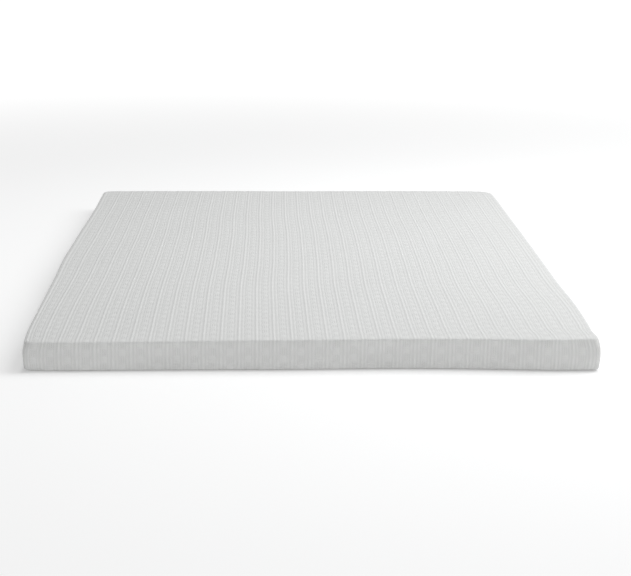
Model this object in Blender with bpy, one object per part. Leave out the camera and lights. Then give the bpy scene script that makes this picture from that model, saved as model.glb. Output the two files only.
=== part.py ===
"""A queen-size foam mattress topper in a ribbed knit cover, lying flat.

Metres, +Z up. The origin is the middle of the base, and the foot end faces -Y.
The cover's top and sides are one knit cloth, filled by the foam, and a plain
panel closes it below. Each starts as a box that is cut into a lattice, whose
points are then moved to the soft shape by the functions below.
"""

import math

import bmesh
import bpy
import numpy as np
from mathutils import Matrix, Vector

WIDTH = 1.524
LENGTH = 2.032
THICKNESS = 0.091
HALF_WIDTH = WIDTH / 2
HALF_LENGTH = LENGTH / 2

# The plain panel below, and the room that the seam leaves between the cloths.
PANEL_THICKNESS = 0.002
PANEL_EDGE_LEVEL = 0.5
SEAM_GAP = 0.0003
SEAM_HEIGHT = PANEL_THICKNESS + SEAM_GAP

# The top rises to a low crown and rounds over at its rim. It is a little higher
# on the +X side, and sinks at the foot corner on the -X side.
CROWN = 0.0006
CROWN_REACH = 0.30
LEAN = 0.0043
TOP_EDGE_RADIUS = 0.005
TOP_EDGE_BENDS = (0.0, math.radians(45))
SUNKEN_CORNER = Vector((-HALF_WIDTH, -HALF_LENGTH))
SUNKEN_DEPTH = 0.0010
SUNKEN_REACH = 0.40

# By (sign of x, sign of y): each corner's radius in plan, how far the side is
# tucked in below it at the seam, and how far its shoulder leans in at the top.
CORNER_RADIUS = {(-1, -1): 0.020, (1, -1): 0.012, (-1, 1): 0.032, (1, 1): 0.055}
CORNER_TUCK = {(-1, -1): 0.006, (1, -1): 0.008, (-1, 1): 0.005, (1, 1): 0.006}
CORNER_SHOULDER = {(-1, -1): 0.008, (1, -1): 0.012, (-1, 1): 0.002, (1, 1): 0.003}
CORNER_REACH = 0.15
LARGEST_CORNER = max(CORNER_RADIUS.values())
CORNER_CUTS = 6

# The foot end is drawn in at its middle, further towards one side, and runs a
# little askew.
FOOT_DRAWN_IN = 0.014
FOOT_DIP_ACROSS = 0.30
FOOT_DIP_REACH = 0.45
FOOT_DIP_DEPTH = 0.011
FOOT_SKEW = 0.005

# The long sides bow out at their middle, and wander: sign of x, place along, reach
# each way, and how far outwards.
SIDE_BOW = 0.004
SIDE_DRIFT = (
    (-1, 0.75, 0.75, -0.012),
    (-1, -0.10, 0.25, 0.0035),
    (-1, -1.00, 0.12, 0.0035),
    (1, -0.66, 0.34, 0.005),
    (1, -1.00, 0.10, 0.0143),
)

# The side's profile: part of the way up from the seam, and how far it is drawn in.
SIDE_PROFILE = (
    (0.00, 0.0060),
    (0.06, 0.0006),
    (0.40, 0.0006),
    (0.75, 0.0),
    (1.00, 0.0),
)

# Rib clusters run lengthwise. One cluster's section: distance across the cloth
# from its middle, and height above the plain knit.
RIB_PITCH = 0.0464
RIB_MIDDLE = -0.0098
RIB_SECTION = (
    (-0.0150, 0.0),
    (-0.0100, 0.0009),
    (-0.0050, 0.0003),
    (0.0, 0.0014),
    (0.0050, 0.0003),
    (0.0100, 0.0009),
    (0.0150, 0.0),
)
RIB_HEIGHT = 0.0014
RIB_HALF_WIDTH = 0.015
RIB_BAND_HEIGHT = 0.0010
CLUSTERS_EACH_WAY = 16
COLUMN_SPACING = 0.002

# The ribs stray sideways by a sine of the place along. Away from the foot end
# they are also gathered, by this much at the sides, between these places along.
RIB_STRAY = 0.0026
STRAY_LENGTH = 1.20
STRAY_PHASE = 0.167
RIB_GATHER = 0.013
GATHER_ALONG = (-0.75, -0.35)

# They lie a little askew: how far, and the powers of the parts across and along.
RIB_SKEW = ((0.0050, 0, 0), (0.0039, 0, 1), (-0.0069, 2, 0), (-0.0045, 1, 1))

# The knit's ribs run out towards the seam and the corners' upright seams.
SEAM_FADE = 0.10
CORNER_FADE = 0.025

# Cuts across the length of the cover's box: sparse, but for its corners' arcs.
COVER_ROWS = (
    0.0,
    0.3 * HALF_LENGTH,
    0.6 * HALF_LENGTH,
    HALF_LENGTH - LARGEST_CORNER,
    HALF_LENGTH - 0.6 * LARGEST_CORNER,
)

KNIT_COLOUR = (0.77, 0.78, 0.77, 1.0)
PANEL_COLOUR = (0.74, 0.74, 0.72, 1.0)

EDGE_START = HALF_WIDTH - TOP_EDGE_RADIUS
EDGE_ARC = TOP_EDGE_RADIUS * math.pi / 2

# How near a point of a box has to be to one of its faces to lie on it.
TOUCH = 1e-6


def sign(value):
    return 1 if value > 0 else -1


def ease(value, low, high):
    """A smooth step from 0 at low to 1 at high."""
    part = min(1.0, max(0.0, (value - low) / (high - low)))
    return part * part * (3 - 2 * part)


def hump(part):
    """A squared cosine: 1 where part is 0, and nothing from 1 outwards."""
    return math.cos(math.pi / 2 * min(1.0, abs(part))) ** 2


def cloth_to_plan(across):
    """Distance across the cloth to x: straight on the top, then round the edge."""
    beyond = abs(across) - EDGE_START
    if beyond <= 0:
        return across
    return sign(across) * (EDGE_START + TOP_EDGE_RADIUS * math.sin(beyond / TOP_EDGE_RADIUS))


def plan_to_cloth(x):
    """The reverse of cloth_to_plan."""
    beyond = abs(x) - EDGE_START
    if beyond <= 0:
        return x
    bend = math.asin(min(1.0, beyond / TOP_EDGE_RADIUS))
    return sign(x) * (EDGE_START + TOP_EDGE_RADIUS * bend)


def from_cluster(across):
    """Distance across the cloth from the middle of the nearest rib cluster."""
    return (across - RIB_MIDDLE + RIB_PITCH / 2) % RIB_PITCH - RIB_PITCH / 2


def rib_height(across):
    """The three ribs of a cluster, above the plain knit."""
    places, heights = zip(*RIB_SECTION)
    return float(np.interp(from_cluster(across), places, heights))


def rib_band_height(across):
    """A cluster's swell without its grooves, for the shallow long sides."""
    part = from_cluster(across) / RIB_HALF_WIDTH
    return RIB_BAND_HEIGHT * max(0.0, 1 - part * part)


def cover_columns():
    """Cuts across the width of the cover's box: each rib's points and the rims' bends."""
    bends = [EDGE_START + TOP_EDGE_RADIUS * bend for bend in TOP_EDGE_BENDS]
    bends = [side * bend for side in (-1, 1) for bend in bends]
    last = EDGE_START + EDGE_ARC - COLUMN_SPACING
    ribs = [
        RIB_MIDDLE + RIB_PITCH * number + place
        for number in range(-CLUSTERS_EACH_WAY, CLUSTERS_EACH_WAY + 1)
        for place, _ in RIB_SECTION
    ]
    kept = [
        rib
        for rib in ribs
        if abs(rib) < last and min(abs(rib - bend) for bend in bends) > COLUMN_SPACING
    ]
    return sorted(cloth_to_plan(across) for across in kept + bends)


def cover_rows():
    """Cuts along the length of the cover's box, on both sides of its middle."""
    rims = [
        HALF_LENGTH - TOP_EDGE_RADIUS * (1 - math.sin(bend)) for bend in TOP_EDGE_BENDS
    ]
    places = set(COVER_ROWS) | set(rims)
    return sorted(places | {-place for place in places})


def plan_point(x, y, up, push):
    """Bends the box's square corners to arcs, pushes the outline out and bows it.

    Inside a corner's square the distance from its inner corner, measured
    squarely, becomes a radius. The long sides bow and wander, and the foot end is
    drawn in. The wandering stays near the side, by a cube of the distance from
    the middle. By a corner the place also moves in along both axes. Returns the
    place and the outward direction.
    """
    radius = CORNER_RADIUS[sign(x), sign(y)]
    inner = Vector((HALF_WIDTH - radius, HALF_LENGTH - radius))
    place = Vector((abs(x), abs(y)))
    corner = place - inner
    if min(corner) > 0:
        outward = corner.normalized()
        place = inner + outward * (max(corner) + push)
    elif HALF_WIDTH - place.x < HALF_LENGTH - place.y:
        outward = Vector((1.0, 0.0))
        place += outward * push
    else:
        outward = Vector((0.0, 1.0))
        place += outward * push
    bow = SIDE_BOW * (1 - (y / HALF_LENGTH) ** 2)
    drift = sum(
        far * hump((y - middle) / reach)
        for side, middle, reach, far in SIDE_DRIFT
        if side == sign(x)
    )
    place.x *= 1 + bow / HALF_WIDTH
    place.x += drift * abs(x / HALF_WIDTH) ** 3
    if y < 0:
        place.y *= 1 - foot_drawn_in(x) / HALF_LENGTH
    place -= Vector((1.0, 1.0)) * corner_lean(x, y, up)
    signs = Vector((sign(x), sign(y)))
    return place * signs, outward * signs


def foot_drawn_in(x):
    """How far the foot end lies in from its full length: a parabola, a dip and a slope."""
    part = x / HALF_WIDTH
    dip = FOOT_DIP_DEPTH * hump((x - FOOT_DIP_ACROSS) / FOOT_DIP_REACH)
    return FOOT_DRAWN_IN * (1 - part * part) + dip + FOOT_SKEW * part


def top_height(x, y, inset):
    """Height of the plain knit: a crown that falls to the rim, and a sunken corner."""
    rim = max(0.0, 1 - inset / CROWN_REACH)
    sunken = max(0.0, 1 - (Vector((x, y)) - SUNKEN_CORNER).length / SUNKEN_REACH)
    lean = LEAN * (x / HALF_WIDTH - 1)
    return THICKNESS - RIB_HEIGHT + lean - CROWN * rim**2 - SUNKEN_DEPTH * sunken**2


def drawn_in(up):
    """How far the side's profile is drawn in towards the seam."""
    parts, depths = zip(*SIDE_PROFILE)
    return float(np.interp(up, parts, depths))


def corner_lean(x, y, up):
    """How far a corner moves in: tucked in by a power of the way down to the seam,
    and its shoulder leant in by a power of the way up.
    """
    corner = sign(x), sign(y)
    away = math.hypot(HALF_WIDTH - abs(x), HALF_LENGTH - abs(y))
    leant = CORNER_TUCK[corner] * (1 - up) ** 2 + CORNER_SHOULDER[corner] * up**3
    return hump(away / CORNER_REACH) * leant


def rib_stray(x, y):
    """How far the knit lies to the side of its place, running out at the long sides.

    It is a sine along the length, and the gathering by a cube of the distance
    from the middle, which is eased in from the foot end. A sum of powers of the
    parts across and along lays the ribs askew.
    """
    across, along = x / HALF_WIDTH, y / HALF_LENGTH
    strayed = RIB_STRAY * math.sin(2 * math.pi * (y / STRAY_LENGTH + STRAY_PHASE))
    gathered = RIB_GATHER * ease(y, *GATHER_ALONG) * across**3
    skew = sum(far * across**power * along**other for far, power, other in RIB_SKEW)
    return (strayed + skew - gathered) * (1 - across**16)


def cover_point(point):
    """Moves a point of the cover's box, 0 to 1 high, to the filled cover."""
    x, y, up = point
    inset = max(0.0, min(HALF_WIDTH - abs(x), HALF_LENGTH - abs(y)))
    top = top_height(x, y, inset)
    side_top = top - TOP_EDGE_RADIUS
    if up > 1 - TOUCH:
        bend = math.asin(max(0.0, 1 - inset / TOP_EDGE_RADIUS))
        height = side_top + TOP_EDGE_RADIUS * math.cos(bend)
    else:
        bend = math.pi / 2
        height = SEAM_HEIGHT + up * (side_top - SEAM_HEIGHT)
    place, outward = plan_point(x, y, up, -drawn_in(up))
    place.x += rib_stray(x, y)
    relief = relief_at(x, y, up, side_top - height)
    spread = outward * relief * math.sin(bend)
    return Vector((*(place + spread), height + relief * math.cos(bend)))


def relief_at(x, y, up, drop):
    """Height of the ribs at a point of the box, whose side lies drop below its top."""
    if up < TOUCH:
        return 0.0
    fade = min(1.0, up / SEAM_FADE)
    on_long_side = HALF_WIDTH - abs(x) < TOUCH
    if on_long_side:
        corner = (HALF_LENGTH - abs(y)) / CORNER_FADE
        relief = rib_band_height(sign(x) * (EDGE_START + EDGE_ARC + max(0.0, drop)))
    else:
        corner = (HALF_WIDTH - abs(x)) / CORNER_FADE
        relief = rib_height(plan_to_cloth(x))
    return relief * fade * min(1.0, corner)


def panel_point(point):
    """Moves a point of the panel's box, 0 to 1 high, to the flat panel."""
    x, y, up = point
    rolled_under = PANEL_THICKNESS * (1 - up) ** 2
    place, _ = plan_point(x, y, 0.0, -drawn_in(0.0) - SEAM_GAP - rolled_under)
    return Vector((*place, PANEL_THICKNESS * up))


def lattice_box(columns, rows, levels):
    """A box, 0 to 1 high, cut through at the columns, rows and levels."""
    box = bmesh.new()
    size = Matrix.Diagonal((WIDTH, LENGTH, 1.0, 1.0))
    bmesh.ops.create_cube(box, size=1.0, matrix=Matrix.Translation((0, 0, 0.5)) @ size)
    cuts = [(Vector((0, 0, 1)), level) for level in levels]
    cuts += [(Vector((0, 1, 0)), row) for row in rows]
    cuts += [(Vector((1, 0, 0)), column) for column in columns]
    for normal, distance in cuts:
        bmesh.ops.bisect_plane(
            box,
            geom=box.verts[:] + box.edges[:] + box.faces[:],
            plane_co=normal * distance,
            plane_no=normal,
        )
    return box


def merge_flat_faces(box, height):
    """Makes one face of those that lie flat at this height."""
    flat = [
        face
        for face in box.faces
        if all(abs(vertex.co.z - height) < TOUCH for vertex in face.verts)
    ]
    bmesh.ops.dissolve_faces(box, faces=flat)


def cloth_material(name, colour, roughness):
    material = bpy.data.materials.new(name)
    material.use_nodes = True
    shader = material.node_tree.nodes["Principled BSDF"]
    shader.inputs["Base Color"].default_value = colour
    shader.inputs["Roughness"].default_value = roughness
    shader.inputs["Metallic"].default_value = 0.0
    return material


def add_part(name, box, move, material, collection):
    """Moves the box's points to their shape and makes an object of it."""
    for vertex in box.verts:
        vertex.co = move(vertex.co)
    mesh = bpy.data.meshes.new(name)
    box.to_mesh(mesh)
    box.free()
    mesh.materials.append(material)
    mesh.shade_smooth()
    mesh.set_sharp_from_angle(angle=math.radians(50))
    collection.objects.link(bpy.data.objects.new(name, mesh))


def build_filled_cover(collection):
    levels = [part for part, _ in SIDE_PROFILE[1:-1]]
    box = lattice_box(cover_columns(), cover_rows(), levels)
    merge_flat_faces(box, 0.0)
    knit = cloth_material("ribbed_knit", KNIT_COLOUR, 0.9)
    add_part("filled_cover", box, cover_point, knit, collection)


def build_underside_panel(collection):
    """A flat panel with the cover's corners, cut close only through their arcs."""
    steps = range(1, CORNER_CUTS + 1)
    arcs = [LARGEST_CORNER * step / CORNER_CUTS for step in steps]
    columns = [side * (HALF_WIDTH - arc) for side in (-1, 1) for arc in arcs]
    rows = [side * (HALF_LENGTH - arc) for side in (-1, 1) for arc in arcs]
    rows += [-HALF_LENGTH / 2, 0.0, HALF_LENGTH / 2]
    box = lattice_box(columns, rows, [PANEL_EDGE_LEVEL])
    merge_flat_faces(box, 0.0)
    merge_flat_faces(box, 1.0)
    plain = cloth_material("plain_panel", PANEL_COLOUR, 0.95)
    add_part("underside_panel", box, panel_point, plain, collection)


def main():
    for scene_object in list(bpy.data.objects):
        bpy.data.objects.remove(scene_object)
    collection = bpy.data.collections.new("mattress_topper")
    bpy.context.scene.collection.children.link(collection)
    build_filled_cover(collection)
    build_underside_panel(collection)


main()
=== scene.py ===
"""The looks of a queen-size foam mattress topper in a ribbed knit cover.

Metres, +Z up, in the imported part's frame: the origin is the middle of the base
and the foot end faces -Y. The knit cover is one filled form, a lattice of the
cloth's columns and rows that two formulas carry over the top and down the
sides. A thin plain panel closes it below. The floor, light and camera follow.
"""

import math

import bpy
import numpy as np
from bpy.props import FloatProperty, FloatVectorProperty, PointerProperty
from mathutils import Matrix, Vector


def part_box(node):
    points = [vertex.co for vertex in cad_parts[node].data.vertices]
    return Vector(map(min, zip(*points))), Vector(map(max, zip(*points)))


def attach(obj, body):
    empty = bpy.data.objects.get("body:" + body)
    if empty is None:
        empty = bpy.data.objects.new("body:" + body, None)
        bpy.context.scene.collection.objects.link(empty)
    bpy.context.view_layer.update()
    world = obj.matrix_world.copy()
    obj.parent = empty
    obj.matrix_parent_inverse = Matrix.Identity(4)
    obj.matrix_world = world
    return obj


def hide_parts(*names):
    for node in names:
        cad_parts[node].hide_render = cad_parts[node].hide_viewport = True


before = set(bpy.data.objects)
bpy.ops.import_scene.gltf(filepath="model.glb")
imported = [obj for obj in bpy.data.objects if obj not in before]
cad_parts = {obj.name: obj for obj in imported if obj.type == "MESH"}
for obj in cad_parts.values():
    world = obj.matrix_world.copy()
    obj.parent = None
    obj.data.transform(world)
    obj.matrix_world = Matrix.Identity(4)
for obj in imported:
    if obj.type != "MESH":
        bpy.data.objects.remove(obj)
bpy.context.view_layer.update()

bl_info = {
    "name": "Knit-Covered Mattress Topper",
    "version": (1, 0, 0),
    "blender": (4, 5, 0),
    "location": "3D View > Sidebar > Topper",
    "description": "Builds a ribbed knit topper, its plain underside and a pale studio",
    "category": "Add Mesh",
}

# The cover's seam lies as high as the cover's lowest point, and the panel's
# thickness is its highest. The room between them is the seam's.
SEAM_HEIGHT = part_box("filled_cover")[0].z
PANEL_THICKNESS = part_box("underside_panel")[1].z
SEAM_GAP = SEAM_HEIGHT - PANEL_THICKNESS

# By (sign of x, sign of y): each corner's radius in plan, how far the side is
# tucked in below it at the seam, and how far its shoulder leans in at the top.
CORNER_RADIUS = {(-1, -1): 0.020, (1, -1): 0.012, (-1, 1): 0.032, (1, 1): 0.055}
CORNER_TUCK = {(-1, -1): 0.006, (1, -1): 0.008, (-1, 1): 0.005, (1, 1): 0.006}
CORNER_SHOULDER = {(-1, -1): 0.008, (1, -1): 0.012, (-1, 1): 0.002, (1, 1): 0.003}
CORNER_REACH = 0.15

# The side's profile: part of the way up from the seam, and how far it is drawn
# in. Its foot rounds under to the seam.
SIDE_PROFILE = (
    (0.00, 0.0060),
    (0.012, 0.0034),
    (0.03, 0.0014),
    (0.06, 0.0005),
    (0.14, 0.0004),
    (0.22, 0.0006),
    (0.45, 0.0005),
    (0.75, 0.0),
    (1.00, 0.0),
)
# Rings round the side: from the first below the edge at even steps, so that they
# meet the ribs of the long sides, then these levels at the foot.
FIRST_RING = 0.0035
RING_STEP = 0.005
FOOT_LEVELS = (0.14, 0.06, 0.03, 0.012, 0.0)

# The long sides wander: sign of x, place along, reach each way, how far outwards.
SIDE_DRIFT = (
    (-1, 0.75, 0.75, -0.012),
    (-1, -0.10, 0.25, 0.0035),
    (-1, -1.00, 0.12, 0.0035),
    (1, -0.66, 0.34, 0.005),
    (1, -1.00, 0.10, 0.0143),
)
# The foot end is drawn in further towards one side, and runs a little askew.
FOOT_DIP = {"across": 0.30, "reach": 0.45, "depth": 0.011}
FOOT_SKEW = 0.005

# The top's low crown, how much higher its +X side is, and the foot corner on the
# -X side that sinks.
CROWN_REACH = 0.30
LEAN = 0.0043
SUNKEN_DEPTH = 0.0010
SUNKEN_REACH = 0.40

# A cluster of three ribs: how far each stands from its middle, and what part of
# the rib height it has. Columns of the lattice stand at these places.
RIBS = ((-0.010, 0.67), (0.0, 1.0), (0.010, 0.67))
RIB_HALF_WIDTH = 0.005
RIB_GROOVE = 0.15
CLUSTER_HALF_WIDTH = 0.015
PUFF_SLOPE = 0.002
RIB_COLUMNS = np.array(
    (-0.017, -0.015, -0.010, -0.005, -0.0025, 0.0, 0.0025, 0.005, 0.010, 0.015, 0.017, 0.0232)
)
LEAST_COLUMN = 0.002
ROWS_A_REPEAT = 4
EDGE_STEPS = 4

# Each rib is lower once every repeat of the blocks, by this part of its height.
RIB_DASH = 0.35
DASH_PHASE = 0.25
# Away from the foot end the ribs are gathered towards the middle, by this much at
# the sides, between these places along.
RIB_GATHER = 0.013
GATHER_ALONG = (-0.75, -0.35)

# Slow unevenness: height, wavelength across, wavelength along, phase in turns.
TOP_WAVES = (
    (0.0005, 0.83, 1.37, 0.10),
    (0.0004, -0.61, 0.74, 0.45),
    (0.0003, 0.37, -0.52, 0.80),
)
# The ribs stray sideways: by how much, wavelength along, phase in turns.
RIB_STRAY = ((0.0026, 1.20, 0.167), (0.0005, 0.47, 0.65))
# They also lie askew: how far, and the powers of the parts across and along.
RIB_SKEW = ((0.0050, 0, 0), (0.0039, 0, 1), (-0.0069, 2, 0), (-0.0045, 1, 1))
# The sides swell and sink between their ends: depth, wavelength, phase in turns.
SIDE_WAVES = ((0.0016, 0.61, 0.15), (0.0011, 0.29, 0.55), (0.0006, 0.17, 0.35))
# Puckers that the seam gathers: depth, wavelength, phase in turns.
PUCKERS = ((0.0005, 0.031, 0.1), (0.0005, 0.047, 0.7), (0.0005, 0.083, 0.4))
# They reach from the seam to this part of the way up, and are whole from this one.
PUCKER_REACH = 0.30
PUCKER_START = 0.03

# Where the relief runs out: up from the seam, and along from a corner's seam.
SEAM_FADE = 0.10
CORNER_FADE = 0.025
# The upright seam in a corner is a crease this deep and this wide each way.
CORNER_CREASE = 0.0006
CORNER_CREASE_WIDTH = 0.006

# The panel's grid and rim, and the ripples by its seam: height, reach inwards, and
# radians a metre across and along.
PANEL_STEP = 0.02
PANEL_LEVELS = (0.25, 0.5, 0.75, 1.0)
PANEL_RIPPLE = 0.0005
PANEL_RIPPLE_REACH = 0.05
PANEL_RIPPLE_RATES = (130.0, 110.0)

CLOTH_MAP = "cloth"
SMOOTH_ANGLE = math.radians(50)
MILLIMETRE = 0.001
TINY = 1e-9

# Both cloths: how little they gloss, and how wide their sheen is.
CLOTH_GLOSS = 0.3
SHEEN_SPREAD = 0.5

# The knit's figures, in millimetres across: where the panel beside a cluster
# begins, where a cluster's outer ribs do, how far apart its ribs and a flat block's
# dots are, and how far over an eye and a rib's rope slant in one rung.
PANEL_EDGE = (13.0, 16.0)
OUTER_RIB = (3.0, 7.0)
RIB_SPACING = 10.2
DOT_SPACING = 5.8
EYE_SLANT = 5.5
ROPE_SLANT = 9.0
# One loop of the plain knit: its width, its height, and its leg's least share.
LOOP_WIDTH = 2.3
LOOP_HEIGHT = 1.9
LOOP_LEAST = 0.35
# A block's ladder has this many rungs a repeat. Its ends bow by this part of a
# repeat at this distance from the panel's middle, and its cosine is steepened
# between these values.
RUNGS_A_REPEAT = 8
BLOCK_BOW = 0.08
BLOCK_BOW_PLACE = 10.0
BLOCK_EDGE = (0.2, 0.8)

# How high each figure of the knit stands, in millimetres.
KNIT_RELIEF = {
    "block": 0.25, "rung": 0.3, "eye": 0.3, "rib": 0.2, "outer rib": 0.15,
    "rope": 0.15, "dot": 0.3, "loop": 0.25, "fuzz": 0.15,
}
# How far each lightens the cloth, from the shaded groove colour to the lit crest's. The ribs, their
# beads, the dots and the loops are lighter where they stand high and darker where low: painted
# light and painted shade. The blocks' share is partly their own stitch and partly painted shade,
# and the mottle is tone that differs at random.
KNIT_PAINTED_LIGHT_AND_TONE = {
    "ground": 0.16, "rib": 0.38, "outer rib": -0.14, "bead_highlight": 0.26, "panel": 0.02,
    "block": 0.38, "dot": 0.26, "mottle": 0.14, "loop": 0.08,
}
KNIT_FUZZ = {"Scale": 900.0, "Detail": 2.0, "Roughness": 0.6}
KNIT_MOTTLE = {"Scale": 9.0, "Detail": 3.0, "Roughness": 0.55}

# The plain cloth below: its threads' pitch and how high they and the fuzz stand, in
# millimetres, how much of its colour's range the threads give as painted shade in the
# weave's hollows and the mottle as random tone, and its darkest part.
THREAD_PITCH = 1.6
WEAVE_RELIEF = 0.2
PANEL_FUZZ_RELIEF = 0.1
WEAVE_PAINTED_SHADE = 0.4
MOTTLE_TONE = 0.6
PANEL_DARKEST = 0.88
PANEL_FUZZ = {"Scale": 700.0, "Detail": 2.0}
PANEL_MOTTLE = {"Scale": 7.0, "Detail": 3.0}


# ---------------------------------------------------------------- settings


class TopperCoverSettings(bpy.types.PropertyGroup):
    """Sizes and colours of the knit cover."""

    width: FloatProperty(
        name="Width", description="Width of the topper", default=1.524, unit="LENGTH"
    )
    length: FloatProperty(
        name="Length", description="Length from foot to head", default=2.032, unit="LENGTH"
    )
    thickness: FloatProperty(
        name="Thickness", description="Height over all", default=0.091, unit="LENGTH"
    )
    crown: FloatProperty(
        name="Crown", description="Rise of the top's middle", default=0.0006, unit="LENGTH"
    )
    side_bow: FloatProperty(
        name="Side Bow", description="Outward bow of a long side", default=0.004, unit="LENGTH"
    )
    foot_drawn_in: FloatProperty(
        name="Foot Drawn In", description="How far the foot end's middle is drawn in",
        default=0.014, unit="LENGTH",
    )
    edge_radius: FloatProperty(
        name="Edge Radius", description="Rounding of the top edge", default=0.005, unit="LENGTH"
    )
    rib_pitch: FloatProperty(
        name="Rib Pitch", description="From one cluster of ribs to the next",
        default=0.0464, unit="LENGTH",
    )
    rib_middle: FloatProperty(
        name="Rib Middle", description="Place of the middle cluster", default=-0.0098, unit="LENGTH"
    )
    rib_height: FloatProperty(
        name="Rib Height", description="Height of the main rib", default=0.0014, unit="LENGTH"
    )
    block_repeat: FloatProperty(
        name="Block Repeat", description="One raised and one flat block of knit",
        default=0.0445, unit="LENGTH",
    )
    puff_height: FloatProperty(
        name="Puff Height", description="Height of a raised block", default=0.0005, unit="LENGTH"
    )
    # Lit and shaded copies of the knit's colour: the crest colour is lightened as painted light,
    # and the groove colour between the ribs is darkened as painted shade.
    lit_crest_colour: FloatVectorProperty(
        name="Crest Colour", description="Colour of the raised knit", subtype="COLOR",
        size=4, min=0, max=1, default=(0.812, 0.816, 0.807, 1.0),
    )
    shaded_groove_colour: FloatVectorProperty(
        name="Groove Colour", description="Colour between the ribs", subtype="COLOR",
        size=4, min=0, max=1, default=(0.682, 0.686, 0.677, 1.0),
    )

    @property
    def half_size(self):
        return np.array((self.width / 2, self.length / 2))

    @property
    def edge_arc(self):
        return self.edge_radius * math.pi / 2

    @property
    def cloth_reach(self):
        """Distance over the cloth from the middle to where the sides begin."""
        return self.half_size - self.edge_radius + self.edge_arc


class TopperPanelSettings(bpy.types.PropertyGroup):
    """Colour of the plain underside panel."""

    colour: FloatVectorProperty(
        name="Panel Colour", description="Colour of the plain cloth", subtype="COLOR",
        size=4, min=0, max=1, default=(0.74, 0.74, 0.72, 1.0),
    )


class TopperStageSettings(bpy.types.PropertyGroup):
    """The pale floor and the soft light."""

    floor_colour: FloatVectorProperty(
        name="Floor Colour", description="Colour of the floor", subtype="COLOR",
        size=4, min=0, max=1, default=(0.72, 0.72, 0.72, 1.0),
    )
    light_power: FloatProperty(
        name="Light Power", description="Power of the large soft light", default=96.0, unit="POWER"
    )
    sky_strength: FloatProperty(
        name="Surround", description="Brightness of the white surroundings", default=0.525, min=0
    )
    sky_lean: FloatProperty(
        name="Surround Lean", description="How much brighter the surroundings are on the +X side",
        default=0.45, min=0, max=1,
    )


# ------------------------------------------------------------------- shape


def cloth_to_plan(cover, distance, axis):
    """Distance over the cloth to a place in plan.

    It is the distance itself as far as the rounded edge, and from there the
    edge's radius times the sine of the angle that the cloth has turned through.
    """
    straight = cover.half_size[axis] - cover.edge_radius
    beyond = np.clip(np.abs(distance) - straight, 0, cover.edge_arc)
    rounded = cover.edge_radius * np.sin(beyond / cover.edge_radius)
    return np.sign(distance) * (np.minimum(np.abs(distance), straight) + rounded)


def from_cluster(cover, across):
    """Distance across the cloth from the middle of the nearest rib cluster."""
    part = (across - cover.rib_middle) / cover.rib_pitch + 0.5
    return (part - np.floor(part) - 0.5) * cover.rib_pitch


def waves(table, *places):
    """A sum of sines: each row's height times the sine of its phase in turns.

    The phase is each place over the row's wavelength for it, added up, plus the
    row's own phase.
    """
    total = 0.0
    for height, *lengths, phase in table:
        turns = phase + sum(place / length for place, length in zip(places, lengths))
        total = total + height * np.sin(2 * np.pi * turns)
    return total


def ease(value, low, high):
    """A smooth step from 0 at low to 1 at high: t squared times three less twice t."""
    part = np.clip((value - low) / (high - low), 0, 1)
    return part**2 * (3 - 2 * part)


def hump(part):
    """A squared cosine: 1 where part is 0, and nothing from 1 outwards."""
    return np.cos(np.pi / 2 * np.clip(part, -1, 1)) ** 2


def rib_relief(cover, across, along):
    """Height of the rib clusters, as a part of the main rib's.

    Each rib is a squared cosine across its width, and a cosine along it lowers
    it once every repeat of the blocks. The knit between the ribs of a cluster
    stays a little proud of the panels beside it.
    """
    aside = from_cluster(cover, across)
    ribs = [part * hump((aside - place) / RIB_HALF_WIDTH) for place, part in RIBS]
    dash = 0.5 - 0.5 * np.cos(2 * np.pi * (along / cover.block_repeat + DASH_PHASE))
    band = np.clip((CLUSTER_HALF_WIDTH - np.abs(aside)) / RIB_HALF_WIDTH, 0, 1)
    return np.maximum(np.max(ribs, axis=0) * (1 - RIB_DASH * dash), RIB_GROOVE * band)


def puff_relief(cover, across, along):
    """Raised and flat blocks of a panel between two clusters, from 0 to 1.

    Along a panel they follow a cosine, half a repeat later in each next panel.
    Across it they are flat, with a short slope down to the ribs.
    """
    panel = np.floor((across - cover.rib_middle) / cover.rib_pitch)
    block = 0.5 + 0.5 * np.cos(2 * np.pi * (along / cover.block_repeat + panel / 2))
    beside = np.abs(from_cluster(cover, across)) - CLUSTER_HALF_WIDTH
    return block * np.clip(beside / PUFF_SLOPE, 0, 1)


def by_corner(plan, table):
    """Each place's value from a table by (sign of x, sign of y)."""
    signs = np.where(plan > 0, 1, -1)
    values = np.zeros(len(plan))
    for corner, value in table.items():
        values[(signs == corner).all(axis=1)] = value
    return values


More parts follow.
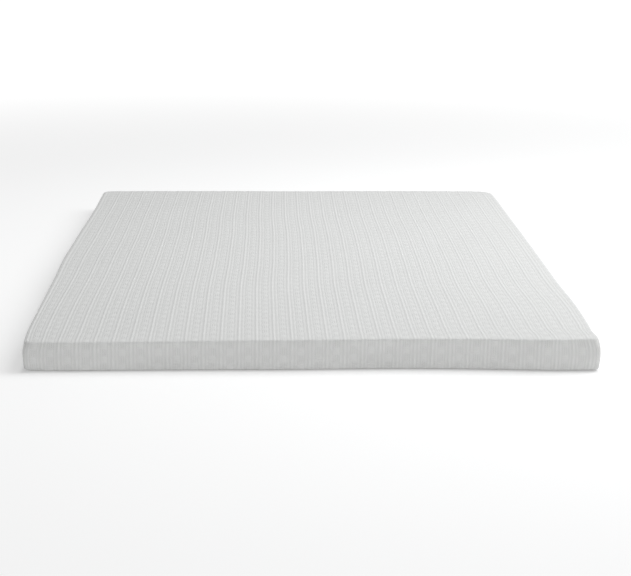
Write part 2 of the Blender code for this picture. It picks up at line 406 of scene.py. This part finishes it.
def plan_points(cover, plan, up, push):
    """Bends the lattice's square corners to arcs, pushes its outline out and bows it.

    Inside a corner's square the distance from its inner corner, measured
    squarely, becomes a radius. The long sides bow as a parabola of their length,
    and wander by squared cosines, which a cube of the distance from the middle
    keeps near the side. The foot end is drawn in by a parabola of its width, a
    squared cosine and a slope. By a corner the places also move in along both
    axes. Returns the places and the outward directions.
    """
    signs = np.where(plan > 0, 1.0, -1.0)
    place = np.abs(plan)
    inner = cover.half_size - by_corner(plan, CORNER_RADIUS)[:, None]
    corner = place - inner
    in_corner = corner.min(axis=1) > 0
    to_side = cover.half_size - place
    nearest_long = to_side[:, 0] < to_side[:, 1]
    outward = np.where(nearest_long[:, None], (1.0, 0.0), (0.0, 1.0))
    turned = corner / np.maximum(np.linalg.norm(corner, axis=1), TINY)[:, None]
    outward = np.where(in_corner[:, None], turned, outward)
    square = inner + outward * corner.max(axis=1)[:, None]
    place = np.where(in_corner[:, None], square, place) + outward * push[:, None]
    across, along = (plan / cover.half_size).T
    bow = cover.side_bow * (1 - along**2)
    drift = sum(
        far * (signs[:, 0] == side) * hump((plan[:, 1] - middle) / reach)
        for side, middle, reach, far in SIDE_DRIFT
    )
    dip = FOOT_DIP["depth"] * hump((plan[:, 0] - FOOT_DIP["across"]) / FOOT_DIP["reach"])
    drawn_in = cover.foot_drawn_in * (1 - across**2) + dip + FOOT_SKEW * across
    place[:, 0] *= 1 + bow / cover.half_size[0]
    place[:, 0] += drift * np.abs(across) ** 3
    place[:, 1] *= 1 - (plan[:, 1] < 0) * drawn_in / cover.half_size[1]
    place -= corner_lean(cover, plan, up)[:, None]
    return place * signs, outward * signs


def top_height(cover, plan, inset):
    """Height of the plain knit, at any place in plan.

    A crown falls by a square towards the rim, one side is higher by a slope, and
    a corner is sunken by a square. Slow waves, halved at the rim, are added.
    """
    rim = np.clip(1 - inset / CROWN_REACH, 0, 1)
    away = np.linalg.norm(plan + cover.half_size, axis=1)
    sunken = np.clip(1 - away / SUNKEN_REACH, 0, 1)
    uneven = waves(TOP_WAVES, plan[:, 0], plan[:, 1]) * (1 - rim / 2)
    level = cover.thickness - cover.rib_height
    lean = LEAN * (plan[:, 0] / cover.half_size[0] - 1)
    return level + lean - cover.crown * rim**2 - SUNKEN_DEPTH * sunken**2 + uneven


def side_push(cover, plan, up, girth):
    """How far the side stands out of the outline below the rounded edge.

    The profile draws it in towards the seam. It swells by sines round the girth,
    and the seam's puckers are finer ones.
    """
    parts, drawn_in = zip(*SIDE_PROFILE)
    swell = waves(SIDE_WAVES, girth) * np.sin(np.pi * up)
    gathered = np.clip(1 - up / PUCKER_REACH, 0, 1) * np.minimum(up / PUCKER_START, 1)
    return swell + waves(PUCKERS, girth) * gathered - np.interp(up, parts, drawn_in)


def corner_lean(cover, plan, up):
    """How far a corner moves in: tucked in by a power of the way down to the seam,
    and its shoulder leant in by a power of the way up.
    """
    away = np.linalg.norm(cover.half_size - np.abs(plan), axis=1)
    tuck = by_corner(plan, CORNER_TUCK) * (1 - up) ** 2
    shoulder = by_corner(plan, CORNER_SHOULDER) * up**3
    return hump(away / CORNER_REACH) * (tuck + shoulder)


def rib_stray(cover, plan):
    """How far the knit lies to the side of its place.

    It is slow sines along the length, and the gathering by a cube of the
    distance from the middle, which is eased in from the foot end. A sum of powers
    of the parts across and along lays the ribs askew. All of it runs out at the
    long sides, by a sixteenth power of the part across.
    """
    across, along = (plan / cover.half_size).T
    gathered = RIB_GATHER * ease(plan[:, 1], *GATHER_ALONG) * across**3
    skew = sum(far * across**power * along**other for far, power, other in RIB_SKEW)
    return (waves(RIB_STRAY, plan[:, 1]) + skew - gathered) * (1 - across**16)


def cover_points(cover, cloth, plan, up, girth):
    """The filled cover's points, from their places in the lattice.

    The height is the side's, in proportion to up, plus the rounded edge's
    radius times the cosine of how far the cloth has bent over. The side's
    profile, its swells and the seam's puckers push the outline. The ribs and
    blocks then stand out along the bent cloth's normal.
    """
    inset = np.clip((cover.half_size - np.abs(plan)).min(axis=1), 0, None)
    bend = np.arcsin(np.clip(1 - inset / cover.edge_radius, 0, 1))
    side_top = top_height(cover, plan, inset) - cover.edge_radius
    height = SEAM_HEIGHT + up * (side_top - SEAM_HEIGHT) + cover.edge_radius * np.cos(bend)
    place, outward = plan_points(cover, plan, up, side_push(cover, plan, up, girth))
    place[:, 0] += rib_stray(cover, plan)
    to_corner = np.sort(cover.half_size - np.abs(plan), axis=1)[:, 1]
    at_corner = np.minimum(to_corner / CORNER_FADE, 1)
    fade = np.minimum(up / SEAM_FADE, 1) * (1 + (at_corner - 1) * np.sin(bend))
    ribs = rib_relief(cover, cloth[:, 0], cloth[:, 1])
    puffs = puff_relief(cover, cloth[:, 0], cloth[:, 1])
    raised = (cover.rib_height * ribs + cover.puff_height * puffs) * fade
    crease = CORNER_CREASE * np.exp(-((to_corner / CORNER_CREASE_WIDTH) ** 2)) * np.sin(bend)
    spread = (raised - crease) * np.sin(bend)
    return np.column_stack([place + outward * spread[:, None], height + raised * np.cos(bend)])


def lattice_faces(columns, rows, levels):
    """Corners of a closed lattice: a top grid, bands down its side, one face below.

    The rim runs once round the grid, foot end first, and each level repeats it.
    Returns the rim's places in the grid, the four-cornered faces and the last.
    """
    grid = np.arange(columns * rows).reshape(rows, columns)
    top = np.stack([grid[:-1, :-1], grid[:-1, 1:], grid[1:, 1:], grid[1:, :-1]], -1)
    rim = np.concatenate([grid[0], grid[1:, -1], grid[-1, -2::-1], grid[-2:0:-1, 0]])
    lower = grid.size + np.arange(levels * rim.size).reshape(levels, -1)
    rings = np.concatenate([rim[None], lower])
    ahead = np.roll(rings, -1, axis=1)
    side = np.stack([rings[1:], ahead[1:], ahead[:-1], rings[:-1]], -1)
    return rim, top.reshape(-1, 4), side.reshape(-1, 4), rings[-1][::-1]


def cover_lattice(cover):
    """Distances over the cloth of the lattice's columns and rows.

    Columns stand on each rib's crest, flanks and foot. Rows divide each repeat
    of the blocks evenly. Both follow the rounded edge in equal turns.
    """
    straight = cover.cloth_reach - cover.edge_arc
    turns = cover.edge_arc * np.arange(EDGE_STEPS + 1) / EDGE_STEPS
    count = int(straight[0] / cover.rib_pitch) + 1
    clusters = cover.rib_middle + cover.rib_pitch * np.arange(-count, count + 1)
    columns = (clusters[:, None] + RIB_COLUMNS).ravel()
    columns = columns[np.abs(columns) < straight[0] - LEAST_COLUMN]
    edge = straight[0] + turns
    columns = np.concatenate([-edge[::-1], columns, edge])
    step = cover.block_repeat / ROWS_A_REPEAT
    half = np.concatenate([np.arange(step, straight[1] - step / 3, step), straight[1] + turns])
    return columns, np.concatenate([-half[::-1], [0.0], half])


def side_levels(cover):
    """The rings down the side, as parts of the way up from the seam."""
    drop = cover.thickness - cover.edge_radius - SEAM_HEIGHT
    levels = 1 - np.arange(FIRST_RING, drop, RING_STEP) / drop
    return np.concatenate([levels[levels > FOOT_LEVELS[0] + RING_STEP / 2 / drop], FOOT_LEVELS])


# ---------------------------------------------------------------- materials


class Wire:
    """A shader socket. An expression on wires and numbers adds its Math nodes."""

    def __init__(self, tree, socket=None):
        self.tree = tree
        self.socket = socket

    def node(self, kind, settings=(), inputs=(), output=0):
        """Adds a node: its settings first, then its sockets' values or links."""
        made = self.tree.nodes.new(kind)
        for name, value in dict(settings).items():
            setattr(made, name, value)
        for name, value in dict(inputs).items():
            if isinstance(value, Wire):
                self.tree.links.new(value.socket, made.inputs[name])
            else:
                made.inputs[name].default_value = value
        return Wire(self.tree, made.outputs[output])

    def math(self, operation, *values):
        return self.node("ShaderNodeMath", {"operation": operation}, enumerate(values))

    def __add__(self, other):
        return self.math("ADD", self, other)

    def __radd__(self, other):
        return self.math("ADD", other, self)

    def __sub__(self, other):
        return self.math("SUBTRACT", self, other)

    def __rsub__(self, other):
        return self.math("SUBTRACT", other, self)

    def __mul__(self, other):
        return self.math("MULTIPLY", self, other)

    def __rmul__(self, other):
        return self.math("MULTIPLY", other, self)

    def __truediv__(self, other):
        return self.math("DIVIDE", self, other)

    def __abs__(self):
        return self.math("ABSOLUTE", self)

    def floor(self):
        return self.math("FLOOR", self)

    def swing(self):
        """A cosine of whole turns, from 0 to 1 and highest at each whole number."""
        return 0.5 + 0.5 * self.math("COSINE", self * (2 * math.pi))

    def ease(self, low, high):
        """A smooth step from 0 at low to 1 at high."""
        return self.node(
            "ShaderNodeMapRange",
            {"interpolation_type": "SMOOTHSTEP"},
            {"Value": self, "From Min": low, "From Max": high},
        )

    def mix(self, low, high):
        """The colour low where the wire is 0, and high where it is 1."""
        return self.node(
            "ShaderNodeMix",
            {"data_type": "RGBA"},
            {"Factor": self, 6: low, 7: high},
            output=2,
        )


def cloth_shader(name, roughness, sheen):
    """A matte finish, with its constant values set. Returns it, its shader and a wire."""
    material = bpy.data.materials.new(name)
    material.use_nodes = True
    shader = material.node_tree.nodes["Principled BSDF"]
    shader.inputs["Roughness"].default_value = roughness
    shader.inputs["Specular IOR Level"].default_value = CLOTH_GLOSS
    shader.inputs["Sheen Weight"].default_value = sheen
    shader.inputs["Sheen Roughness"].default_value = SHEEN_SPREAD
    return material, shader, Wire(material.node_tree)


def cloth_places(wire):
    """Distance across and along the cloth, in millimetres."""
    place = wire.node("ShaderNodeUVMap", {"uv_map": CLOTH_MAP})
    across = wire.node("ShaderNodeSeparateXYZ", (), {"Vector": place}, "X")
    along = wire.node("ShaderNodeSeparateXYZ", (), {"Vector": place}, "Y")
    return across / MILLIMETRE, along / MILLIMETRE, place


def cloth_noise(wire, place, figures):
    """Noise that lies on the cloth, from 0 to 1."""
    return wire.node("ShaderNodeTexNoise", {"noise_dimensions": "2D"}, {"Vector": place, **figures})


def knit_loops(across, along):
    """Loops of plain knit, from 0 to 1: chevrons that meet in each column's middle."""
    column = across / LOOP_WIDTH
    aside = abs(column - column.floor() - 0.5) * 2
    leg = (along / LOOP_HEIGHT - aside * 0.5).swing()
    return leg * (LOOP_LEAST + (1 - LOOP_LEAST) * (aside * 0.5).swing())


def knit_material(cover):
    """Ribbed knit: plain loops, roped ribs, and panels of laddered and dotted blocks.

    The bump's height is in millimetres. Its colour carries painted shade where the knit is low,
    between the ribs and in the flat blocks between their dots, and painted light on the crests,
    beside its random mottle.
    """
    material, shader, wire = cloth_shader("ribbed_knit", roughness=0.9, sheen=0.15)
    across, along, place = cloth_places(wire)
    pitch = cover.rib_pitch / MILLIMETRE
    repeats = along / (cover.block_repeat / MILLIMETRE)
    cluster = (across - cover.rib_middle / MILLIMETRE) / pitch
    aside = (cluster - (cluster + 0.5).floor()) * pitch
    panel = abs(aside).ease(*PANEL_EDGE)
    in_panel = (cluster - cluster.floor() - 0.5) * (pitch / BLOCK_BOW_PLACE)
    phase = repeats + cluster.floor() * 0.5
    block = (phase + in_panel * in_panel * BLOCK_BOW).swing().ease(*BLOCK_EDGE)
    ribs = (aside / RIB_SPACING).swing() * (1 - panel)
    outer = abs(aside).ease(*OUTER_RIB)
    # Painted highlight along each rib, where it stands highest in a repeat.
    bead_highlight = (repeats + DASH_PHASE).swing() * ribs
    dots = (aside / DOT_SPACING).swing() * (1 - block) * panel
    loops = knit_loops(across, along)

    rungs = phase * RUNGS_A_REPEAT
    eye = (rungs + aside / EYE_SLANT).swing() * (rungs - aside / EYE_SLANT).swing()
    rope = (rungs + aside / ROPE_SLANT).swing()
    high = KNIT_RELIEF
    ladder = block * (high["block"] + high["rung"] * rungs.swing())
    rib_relief = ribs * (high["rib"] + high["outer rib"] * outer + high["rope"] * rope)
    height = panel * (ladder + (1 - block) * eye * high["eye"]) + rib_relief
    height = height + dots * high["dot"] + loops * high["loop"]
    height = height + cloth_noise(wire, place, KNIT_FUZZ) * high["fuzz"]
    bump = wire.node("ShaderNodeBump", (), {"Height": height, "Distance": MILLIMETRE})
    wire.tree.links.new(bump.socket, shader.inputs["Normal"])

    painted_shares = KNIT_PAINTED_LIGHT_AND_TONE
    # The colour: painted light on the raised ribs, beads, dots and loops, painted shade where the
    # knit is low, the blocks' own stitch, and random mottle.
    light = painted_shares["ground"] + ribs * (painted_shares["rib"] + painted_shares["outer rib"] * outer)
    light = light + bead_highlight * painted_shares["bead_highlight"] + dots * painted_shares["dot"] + loops * painted_shares["loop"]
    light = light + panel * (painted_shares["panel"] + painted_shares["block"] * block)
    light = light + cloth_noise(wire, place, KNIT_MOTTLE) * painted_shares["mottle"]
    colour = light.mix(tuple(cover.shaded_groove_colour), tuple(cover.lit_crest_colour))
    wire.tree.links.new(colour.socket, shader.inputs["Base Color"])
    return material


def panel_material(panel):
    """Plain woven cloth: warp and weft cross over and under."""
    material, shader, wire = cloth_shader("plain_panel", roughness=0.95, sheen=0.1)
    across, along, place = cloth_places(wire)
    warp = (across / THREAD_PITCH).swing()
    weft = (along / THREAD_PITCH).swing()
    over = (across / (2 * THREAD_PITCH) + along / (2 * THREAD_PITCH)).swing()
    weave = over * warp + (1 - over) * weft
    fuzz = cloth_noise(wire, place, PANEL_FUZZ)
    height = weave * WEAVE_RELIEF + fuzz * PANEL_FUZZ_RELIEF
    bump = wire.node("ShaderNodeBump", (), {"Height": height, "Distance": MILLIMETRE})
    wire.tree.links.new(bump.socket, shader.inputs["Normal"])
    mottle = cloth_noise(wire, place, PANEL_MOTTLE)
    dark = tuple(PANEL_DARKEST * part for part in panel.colour[:3]) + (1.0,)
    # Darker where the weave is low, which is painted shade in the threads' hollows. The mottle is
    # random tone.
    colour = (weave * WEAVE_PAINTED_SHADE + mottle * MOTTLE_TONE).mix(dark, tuple(panel.colour))
    wire.tree.links.new(colour.socket, shader.inputs["Base Color"])
    return material


# ------------------------------------------------------------------ pieces


def add_piece(name, points, faces, cloth, material):
    """Makes a smooth mesh object of points and faces, with its cloth map."""
    mesh = bpy.data.meshes.new(name)
    mesh.from_pydata(points, [], faces)
    layer = mesh.uv_layers.new(name=CLOTH_MAP)
    layer.uv.foreach_set("vector", np.ascontiguousarray(cloth, np.float32).ravel())
    mesh.materials.append(material)
    mesh.shade_smooth()
    mesh.set_sharp_from_angle(angle=SMOOTH_ANGLE)
    piece = bpy.data.objects.new(name, mesh)
    bpy.context.scene.collection.objects.link(piece)
    return piece


def build_knit_cover(cover):
    """The filled knit cover, with each point's place on the cloth as its map."""
    across, along = cover_lattice(cover)
    levels = side_levels(cover)
    rim, top, side, bottom = lattice_faces(len(across), len(along), len(levels))
    cloth = np.stack(np.meshgrid(across, along), -1).reshape(-1, 2)
    plan = np.stack(
        np.meshgrid(cloth_to_plan(cover, across, 0), cloth_to_plan(cover, along, 1)), -1
    ).reshape(-1, 2)
    drop = (1 - levels) * (cover.thickness - cover.edge_radius - SEAM_HEIGHT)
    side_cloth, side_map = side_places(cover, cloth[rim], plan[rim], drop)
    steps = np.linalg.norm(np.roll(plan[rim], -1, axis=0) - plan[rim], axis=1)
    girth = np.concatenate([[0.0], np.cumsum(steps)[:-1]])
    all_girth = np.zeros(len(plan))
    all_girth[rim] = girth
    points = cover_points(
        cover,
        np.concatenate([cloth, side_cloth.reshape(-1, 2)]),
        np.concatenate([plan, np.tile(plan[rim], (len(levels), 1))]),
        np.concatenate([np.ones(len(plan)), np.repeat(levels, len(rim))]),
        np.concatenate([all_girth, np.tile(girth, len(levels))]),
    )
    faces = top.tolist() + side.tolist() + [bottom.tolist()]
    cloth_map = np.concatenate([cloth[top].reshape(-1, 2), side_map, points[bottom][:, :2]])
    return add_piece("knit_cover", points, faces, cloth_map, knit_material(cover))


def side_places(cover, cloth, plan, drop):
    """Places on the cloth down the sides: for each point, and for each face's corners.

    Below an end the length grows by the drop, and below a long side the width.
    The two meet at a corner's seam, so a face there takes its own side's places.
    """
    signs = np.sign(plan)
    half = cover.half_size
    ends = np.isclose(np.abs(plan[:, 1]), half[1])
    reach = cover.cloth_reach
    down = np.broadcast_to(drop[:, None], (len(drop), len(plan)))
    across = np.broadcast_to(plan[:, 0], down.shape)
    along = np.broadcast_to(plan[:, 1], down.shape)
    on_end = np.stack([across, signs[:, 1] * (reach[1] + down)], -1)
    on_long = np.stack([signs[:, 0] * (reach[0] + down), along], -1)
    points = np.where(ends[:, None], on_end, on_long)
    points[:, ends, 0] = cloth[ends, 0]
    top_end = np.stack([plan[:, 0], signs[:, 1] * reach[1]], -1)
    top_long = np.stack([signs[:, 0] * reach[0], plan[:, 1]], -1)
    end_rings = np.concatenate([top_end[None], on_end])
    long_rings = np.concatenate([top_long[None], on_long])
    ahead = np.roll(np.arange(len(plan)), -1)
    end_face = ends & ends[ahead]
    rings = np.where(end_face[:, None], end_rings, long_rings)
    next_rings = np.where(end_face[:, None], end_rings[:, ahead], long_rings[:, ahead])
    corners = np.stack([rings[1:], next_rings[1:], next_rings[:-1], rings[:-1]], -2)
    return points, corners.reshape(-1, 2)


def build_panel_cloth(cover, panel):
    """The thin plain panel below: a grid that lies flat, and a rim that rolls up.

    The grid ripples near the rim, where the seam gathers it, by a small height
    times waves along both directions. The rim goes out by a quarter circle.
    """
    across, along = (
        np.linspace(-size, size, int(2 * size / PANEL_STEP)) for size in cover.half_size
    )
    rim, grid, side, lid = lattice_faces(len(across), len(along), len(PANEL_LEVELS))
    flat = np.stack(np.meshgrid(across, along), -1).reshape(-1, 2)
    plan = np.concatenate([flat, np.tile(flat[rim], (len(PANEL_LEVELS), 1))])
    up = np.concatenate([np.zeros(len(flat)), np.repeat(PANEL_LEVELS, len(rim))])
    push = -SIDE_PROFILE[0][1] - SEAM_GAP - PANEL_THICKNESS * (1 - up) ** 2
    place, _ = plan_points(cover, plan, np.zeros(len(plan)), push)
    inset = (cover.half_size - np.abs(plan)).min(axis=1)
    gathered = np.clip(1 - inset / PANEL_RIPPLE_REACH, 0, 1) * (1 - up)
    ripple = 0.5 + 0.5 * np.sin(plan * PANEL_RIPPLE_RATES).prod(axis=1)
    height = PANEL_THICKNESS * up + PANEL_RIPPLE * gathered * ripple
    points = np.column_stack([place, height])
    faces = grid[:, ::-1].tolist() + side[:, ::-1].tolist() + [lid[::-1].tolist()]
    corners = np.concatenate(faces)
    return add_piece("panel_cloth", points, faces, points[corners][:, :2], panel_material(panel))


# ------------------------------------------------------------------- stage

# The camera, in metres and radians: it stands at the foot end, turned a little
# towards +X, looks down and leans slightly.
CAMERA_PLACE = (-0.1285, -4.8536, 1.2496)
CAMERA_YAW = 0.03512
CAMERA_PITCH = 0.25927
CAMERA_ROLL = 0.01258
CAMERA_LENS = 87.006

# The floor's side, and the large soft light: its place, size and faint colour.
FLOOR_SIZE = 80.0
LIGHT_PLACE = (2.2, 0.1, 3.0)
LIGHT_SIZE = (2.0, 3.6)
LIGHT_COLOUR = (0.985, 0.995, 1.0)

# The floor's own glow, which comes in between these distances from the middle.
GLOW_FROM, GLOW_TO = 2.0, 6.5
FAR_GLOW = (0.72, 0.72, 0.72, 1.0)
NEAR_GLOW = (0.35, 0.35, 0.35, 1.0)
# It glows less in a narrow band round the part's footprint: a painted contact shadow along its foot
# and the seam's gap.
PAINTED_CONTACT_SHADOW_GLOW = (0.23, 0.23, 0.23, 1.0)
CONTACT_SHADOW_REACH = (-0.002, 0.012)


def floor_material(stage, cover):
    """Matte and pale. Far from the part it glows, so that it stays white there.

    Close to the part, by the cover's own formula for its foot end and its plain
    width and length, it glows less: a painted contact shadow.
    """
    material, shader, wire = cloth_shader("studio_floor", roughness=1.0, sheen=0.0)
    shader.inputs["Specular IOR Level"].default_value = 0.0
    shader.inputs["Base Color"].default_value = stage.floor_colour
    place = wire.node("ShaderNodeTexCoord", output="Object")
    away = wire.node("ShaderNodeVectorMath", {"operation": "LENGTH"}, {0: place}, "Value")
    x = wire.node("ShaderNodeSeparateXYZ", (), {"Vector": place}, "X")
    y = wire.node("ShaderNodeSeparateXYZ", (), {"Vector": place}, "Y")
    part = x / (cover.width / 2)
    dip = wire.math("MINIMUM", abs(x - FOOT_DIP["across"]) / (2 * FOOT_DIP["reach"]), 0.5).swing()
    drawn_in = cover.foot_drawn_in * (1 - part * part) + FOOT_DIP["depth"] * dip + FOOT_SKEW * part
    beyond = abs(y) - cover.length / 2 + drawn_in
    outside = wire.math("MAXIMUM", abs(x) - cover.width / 2, beyond)
    glow = away.ease(GLOW_FROM, GLOW_TO).mix(NEAR_GLOW, FAR_GLOW)
    # A painted contact shadow: less glow in a narrow band round the part's footprint.
    glow = outside.ease(*CONTACT_SHADOW_REACH).mix(PAINTED_CONTACT_SHADOW_GLOW, glow)
    wire.tree.links.new(glow.socket, shader.inputs["Emission Color"])
    shader.inputs["Emission Strength"].default_value = 1.0
    return material


def add_floor(stage, cover):
    """A wide pale floor, one flat face at the part's lowest point."""
    half = FLOOR_SIZE / 2
    mesh = bpy.data.meshes.new("studio_floor")
    corners = [(-half, -half, 0), (half, -half, 0), (half, half, 0), (-half, half, 0)]
    mesh.from_pydata(corners, [], [(0, 1, 2, 3)])
    mesh.materials.append(floor_material(stage, cover))
    floor = bpy.data.objects.new("studio_floor", mesh)
    bpy.context.scene.collection.objects.link(floor)


def add_light(stage):
    """A large soft light above the +X side, and white surroundings, brighter there."""
    lamp = bpy.data.lights.new("soft_light", "AREA")
    lamp.shape = "RECTANGLE"
    lamp.size, lamp.size_y = LIGHT_SIZE
    lamp.energy = stage.light_power
    lamp.color = LIGHT_COLOUR
    light = bpy.data.objects.new("soft_light", lamp)
    light.location = LIGHT_PLACE
    light.rotation_mode = "QUATERNION"
    light.rotation_quaternion = Vector(LIGHT_PLACE).to_track_quat("Z", "Y")
    bpy.context.scene.collection.objects.link(light)
    world = bpy.data.worlds.new("surround")
    world.use_nodes = True
    wire = Wire(world.node_tree)
    direction = wire.node("ShaderNodeTexCoord", output="Generated")
    sideways = wire.node("ShaderNodeSeparateXYZ", (), {"Vector": direction}, "X")
    brightness = stage.sky_strength * (1 + stage.sky_lean * sideways)
    background = world.node_tree.nodes["Background"]
    background.inputs["Color"].default_value = (1, 1, 1, 1)
    world.node_tree.links.new(brightness.socket, background.inputs["Strength"])
    bpy.context.scene.world = world


def add_camera():
    """A long lens at the foot end: turned, tipped down and leant, in that order."""
    camera = bpy.data.objects.new("camera", bpy.data.cameras.new("camera"))
    camera.data.lens = CAMERA_LENS
    turn = Matrix.Rotation(-CAMERA_YAW, 4, "Z")
    look_down = Matrix.Rotation(math.pi / 2 - CAMERA_PITCH, 4, "X")
    lean = Matrix.Rotation(CAMERA_ROLL, 4, "Z")
    camera.matrix_world = Matrix.Translation(CAMERA_PLACE) @ turn @ look_down @ lean
    bpy.context.scene.collection.objects.link(camera)
    bpy.context.scene.camera = camera


# --------------------------------------------------------------- operators


class TOPPER_OT_knit_cover(bpy.types.Operator):
    """Build the ribbed knit cover with the foam that fills it"""

    bl_idname = "topper.knit_cover"
    bl_label = "Knit Cover"

    def execute(self, context):
        piece = build_knit_cover(context.scene.topper_cover)
        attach(piece, "root")
        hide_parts("filled_cover")
        return {"FINISHED"}


class TOPPER_OT_panel_cloth(bpy.types.Operator):
    """Build the plain panel that closes the cover below"""

    bl_idname = "topper.panel_cloth"
    bl_label = "Underside Panel"

    def execute(self, context):
        cover = context.scene.topper_cover
        piece = build_panel_cloth(cover, context.scene.topper_panel)
        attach(piece, "root")
        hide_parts("underside_panel")
        return {"FINISHED"}


class TOPPER_OT_stage(bpy.types.Operator):
    """Set up the pale floor, the soft light and the camera"""

    bl_idname = "topper.stage"
    bl_label = "Studio"

    def execute(self, context):
        add_floor(context.scene.topper_stage, context.scene.topper_cover)
        add_light(context.scene.topper_stage)
        add_camera()
        context.scene.view_settings.view_transform = "Standard"
        return {"FINISHED"}


class TOPPER_PT_sidebar(bpy.types.Panel):
    """The topper's settings and steps"""

    bl_idname = "TOPPER_PT_sidebar"
    bl_label = "Mattress Topper"
    bl_space_type = "VIEW_3D"
    bl_region_type = "UI"
    bl_category = "Topper"

    def draw(self, context):
        for group, operator in STEPS:
            box = self.layout.box()
            settings = getattr(context.scene, group)
            for name in settings.__annotations__:
                box.prop(settings, name)
            box.operator(operator.bl_idname)


STEPS = (
    ("topper_cover", TOPPER_OT_knit_cover),
    ("topper_panel", TOPPER_OT_panel_cloth),
    ("topper_stage", TOPPER_OT_stage),
)
SETTINGS = {
    "topper_cover": TopperCoverSettings,
    "topper_panel": TopperPanelSettings,
    "topper_stage": TopperStageSettings,
}
CLASSES = (*SETTINGS.values(), *(operator for _, operator in STEPS), TOPPER_PT_sidebar)


def register():
    for each in CLASSES:
        bpy.utils.register_class(each)
    for name, group in SETTINGS.items():
        setattr(bpy.types.Scene, name, PointerProperty(type=group))


def unregister():
    for name in SETTINGS:
        delattr(bpy.types.Scene, name)
    for each in reversed(CLASSES):
        bpy.utils.unregister_class(each)


def main():
    register()
    bpy.ops.topper.knit_cover()
    bpy.ops.topper.panel_cloth()
    bpy.ops.topper.stage()


if __name__ == "__main__":
    main()
